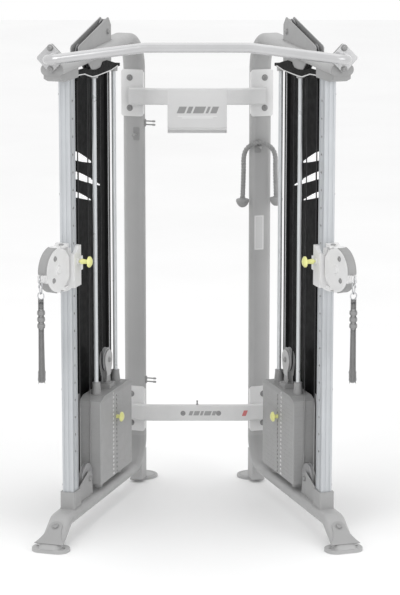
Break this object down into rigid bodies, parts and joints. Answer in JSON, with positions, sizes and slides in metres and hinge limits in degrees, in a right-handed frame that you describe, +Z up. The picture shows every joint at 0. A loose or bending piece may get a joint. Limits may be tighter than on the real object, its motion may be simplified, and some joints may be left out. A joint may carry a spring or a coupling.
{
  "type": "cable crossover machine",
  "caption": "Free-standing dual adjustable pulley tower gym machine with selector weight stacks, sliding cable carriages, handles and an overhead pull-up bar.",
  "frame": {"origin": "on the floor, under the middle of the machine's overall box", "axes": "+X to the machine's right as seen from its front, +Y to the rear, +Z up"},
  "size_m": [1.4104, 1.2816, 2.2015],
  "materials": {
    "frame_paint": "satin grey powder coat",
    "cast_paint": "light grey powder coat",
    "extrusion": "satin anodised",
    "bar_paint": "pale satin",
    "black_panel": "black satin sheet",
    "rod_steel": "polished",
    "plate_iron": "grey satin paint",
    "pulley_nylon": "moulded",
    "cable_skin": "nylon coated cable",
    "rubber_grey": "moulded rubber",
    "yellow_knob": "pale yellow",
    "dark_steel": "black oxide bolts",
    "bright_steel": "plated",
    "webbing": "nylon webbing",
    "grip_foam": "foam rubber",
    "rope_fibre": "braided rope"
  },
  "bodies": {
    "frame": {"front_feet": "rubber_grey", "foot_covers": "frame_paint", "rear_feet": "rubber_grey", "uprights": "extrusion", "upright_sockets": "frame_paint", "top_saddles": "frame_paint", "gusset_plates": "frame_paint", "cap_plates": "black_panel", "guide_rods": "rod_steel", "stack_bumpers": "rubber_grey", "shrouds": "black_panel", "cable_loops": "cable_skin", "hardware": "dark_steel", "accessory_hooks": "dark_steel", "pull_up_bar": "bar_paint", "crossbeams": "cast_paint", "beam_brackets": "cast_paint", "sign_panel": "cast_paint", "pressdown_rope": "rope_fibre", "rope_ends": "rubber_grey", "base_rail_left": "frame_paint", "column_left": "frame_paint", "top_arm_left": "frame_paint", "resting_plates_left": "plate_iron", "cable_stack_runs_left": "cable_skin", "base_rail_right": "frame_paint", "column_right": "frame_paint", "top_arm_right": "frame_paint", "resting_plates_right": "plate_iron", "cable_stack_runs_right": "cable_skin"},
    "stack_left": {"lifted_plates_left": "plate_iron", "stack_head_left": "plate_iron"},
    "selector_left": {"selector_pin_left": "yellow_knob"},
    "carriage_left": {"carriage_left": "cast_paint"},
    "pop_pin_left": {"pop_pin_left": "yellow_knob"},
    "swivel_left": {"swivel_housing_left": "cast_paint"},
    "swivel_pulley_left": {"pulley_swivel_left": "pulley_nylon"},
    "handle_left": {"snap_hook_left": "bright_steel", "handle_strap_left": "webbing", "handle_grip_left": "grip_foam"},
    "front_top_pulley_left": {"pulley_front_top_left": "pulley_nylon"},
    "middle_top_pulley_left": {"pulley_middle_top_left": "pulley_nylon"},
    "rear_top_pulley_left": {"pulley_rear_top_left": "pulley_nylon"},
    "low_pulley_left": {"pulley_low_left": "pulley_nylon"},
    "float_pulley_left": {"pulley_float_left": "pulley_nylon"},
    "stack_right": {"lifted_plates_right": "plate_iron", "stack_head_right": "plate_iron"},
    "selector_right": {"selector_pin_right": "yellow_knob"},
    "carriage_right": {"carriage_right": "cast_paint"},
    "pop_pin_right": {"pop_pin_right": "yellow_knob"},
    "swivel_right": {"swivel_housing_right": "cast_paint"},
    "swivel_pulley_right": {"pulley_swivel_right": "pulley_nylon"},
    "handle_right": {"snap_hook_right": "bright_steel", "handle_strap_right": "webbing", "handle_grip_right": "grip_foam"},
    "front_top_pulley_right": {"pulley_front_top_right": "pulley_nylon"},
    "middle_top_pulley_right": {"pulley_middle_top_right": "pulley_nylon"},
    "rear_top_pulley_right": {"pulley_rear_top_right": "pulley_nylon"},
    "low_pulley_right": {"pulley_low_right": "pulley_nylon"},
    "float_pulley_right": {"pulley_float_right": "pulley_nylon"}
  },
  "joints": [
    {"name": "weight_lift_left", "type": "slide", "parent": "frame", "child": "stack_left", "axis": [0, 0, 1], "range_m": [0, 1.1], "deforming": ["cable_stack_runs_left"]},
    {"name": "selector_pull_left", "type": "slide", "parent": "stack_left", "child": "selector_left", "axis": [0.9516, -0.3074, 0], "range_m": [0, 0.062]},
    {"name": "carriage_slide_left", "type": "slide", "parent": "frame", "child": "carriage_left", "axis": [0, 0, 1], "range_m": [-0.6096, 0.6858]},
    {"name": "pop_pin_pull_left", "type": "slide", "parent": "carriage_left", "child": "pop_pin_left", "axis": [0.9516, -0.3074, 0], "range_m": [-0.008, 0], "stiffness_N_per_m": 900, "springref_m": -0.01},
    {"name": "swivel_turn_left", "type": "hinge", "parent": "carriage_left", "child": "swivel_left", "pos_m": [-0.57412, -0.42624, 1.2], "axis": [0, 0, 1], "range_deg": [-65, 90]},
    {"name": "swivel_pulley_spin_left", "type": "hinge", "parent": "swivel_left", "child": "swivel_pulley_left", "pos_m": [-0.59913, -0.46954, 1.2], "axis": [0.866, -0.5, 0], "continuous": true},
    {"name": "handle_swing_left", "type": "hinge", "parent": "swivel_left", "child": "handle_left", "pos_m": [-0.65412, -0.5648, 1.178], "axis": [-0.866, 0.5, 0], "range_deg": [0, 80]},
    {"name": "front_top_pulley_spin_left", "type": "hinge", "parent": "frame", "child": "front_top_pulley_left", "pos_m": [-0.49729, -0.18834, 2.075], "axis": [0.9516, -0.3074, 0], "continuous": true},
    {"name": "middle_top_pulley_spin_left", "type": "hinge", "parent": "frame", "child": "middle_top_pulley_left", "pos_m": [-0.44688, -0.03228, 2.06], "axis": [0.9516, -0.3074, 0], "continuous": true},
    {"name": "rear_top_pulley_spin_left", "type": "hinge", "parent": "frame", "child": "rear_top_pulley_left", "pos_m": [-0.40692, 0.09143, 2.14], "axis": [0.9516, -0.3074, 0], "continuous": true},
    {"name": "low_pulley_spin_left", "type": "hinge", "parent": "frame", "child": "low_pulley_left", "pos_m": [-0.49052, -0.1674, 0.202], "axis": [0.9516, -0.3074, 0], "continuous": true},
    {"name": "float_pulley_spin_left", "type": "hinge", "parent": "stack_left", "child": "float_pulley_left", "pos_m": [-0.40692, 0.09143, 0.677], "axis": [0.9516, -0.3074, 0], "continuous": true},
    {"name": "weight_lift_right", "type": "slide", "parent": "frame", "child": "stack_right", "axis": [0, 0, 1], "range_m": [0, 1.1], "deforming": ["cable_stack_runs_right"]},
    {"name": "selector_pull_right", "type": "slide", "parent": "stack_right", "child": "selector_right", "axis": [-0.9516, -0.3074, 0], "range_m": [0, 0.062]},
    {"name": "carriage_slide_right", "type": "slide", "parent": "frame", "child": "carriage_right", "axis": [0, 0, 1], "range_m": [-0.6096, 0.6858]},
    {"name": "pop_pin_pull_right", "type": "slide", "parent": "carriage_right", "child": "pop_pin_right", "axis": [-0.9516, -0.3074, 0], "range_m": [-0.008, 0], "stiffness_N_per_m": 900, "springref_m": -0.01},
    {"name": "swivel_turn_right", "type": "hinge", "parent": "carriage_right", "child": "swivel_right", "pos_m": [0.57412, -0.42624, 1.2], "axis": [0, 0, -1], "range_deg": [-65, 90]},
    {"name": "swivel_pulley_spin_right", "type": "hinge", "parent": "swivel_right", "child": "swivel_pulley_right", "pos_m": [0.59913, -0.46954, 1.2], "axis": [0.866, 0.5, 0], "continuous": true},
    {"name": "handle_swing_right", "type": "hinge", "parent": "swivel_right", "child": "handle_right", "pos_m": [0.65412, -0.5648, 1.178], "axis": [-0.866, -0.5, 0], "range_deg": [0, 80]},
    {"name": "front_top_pulley_spin_right", "type": "hinge", "parent": "frame", "child": "front_top_pulley_right", "pos_m": [0.49729, -0.18834, 2.075], "axis": [0.9516, 0.3074, 0], "continuous": true},
    {"name": "middle_top_pulley_spin_right", "type": "hinge", "parent": "frame", "child": "middle_top_pulley_right", "pos_m": [0.44688, -0.03228, 2.06], "axis": [0.9516, 0.3074, 0], "continuous": true},
    {"name": "rear_top_pulley_spin_right", "type": "hinge", "parent": "frame", "child": "rear_top_pulley_right", "pos_m": [0.40692, 0.09143, 2.14], "axis": [0.9516, 0.3074, 0], "continuous": true},
    {"name": "low_pulley_spin_right", "type": "hinge", "parent": "frame", "child": "low_pulley_right", "pos_m": [0.49052, -0.1674, 0.202], "axis": [0.9516, 0.3074, 0], "continuous": true},
    {"name": "float_pulley_spin_right", "type": "hinge", "parent": "stack_right", "child": "float_pulley_right", "pos_m": [0.40692, 0.09143, 0.677], "axis": [0.9516, 0.3074, 0], "continuous": true}
  ],
  "couplings": [
    {"joint": "middle_top_pulley_spin_left", "follows": "weight_lift_left", "rad_per_m": 25},
    {"joint": "low_pulley_spin_left", "follows": "weight_lift_left", "rad_per_m": -32.258},
    {"joint": "float_pulley_spin_left", "follows": "weight_lift_left", "rad_per_m": -20},
    {"joint": "swivel_pulley_spin_left", "follows": "weight_lift_left", "rad_per_m": 40},
    {"joint": "front_top_pulley_spin_left", "follows": "carriage_slide_left", "rad_per_m": -25},
    {"joint": "rear_top_pulley_spin_left", "follows": "carriage_slide_left", "rad_per_m": -20},
    {"joint": "middle_top_pulley_spin_right", "follows": "weight_lift_right", "rad_per_m": 25},
    {"joint": "low_pulley_spin_right", "follows": "weight_lift_right", "rad_per_m": -32.258},
    {"joint": "float_pulley_spin_right", "follows": "weight_lift_right", "rad_per_m": -20},
    {"joint": "swivel_pulley_spin_right", "follows": "weight_lift_right", "rad_per_m": 40},
    {"joint": "front_top_pulley_spin_right", "follows": "carriage_slide_right", "rad_per_m": -25},
    {"joint": "rear_top_pulley_spin_right", "follows": "carriage_slide_right", "rad_per_m": -20}
  ]
}
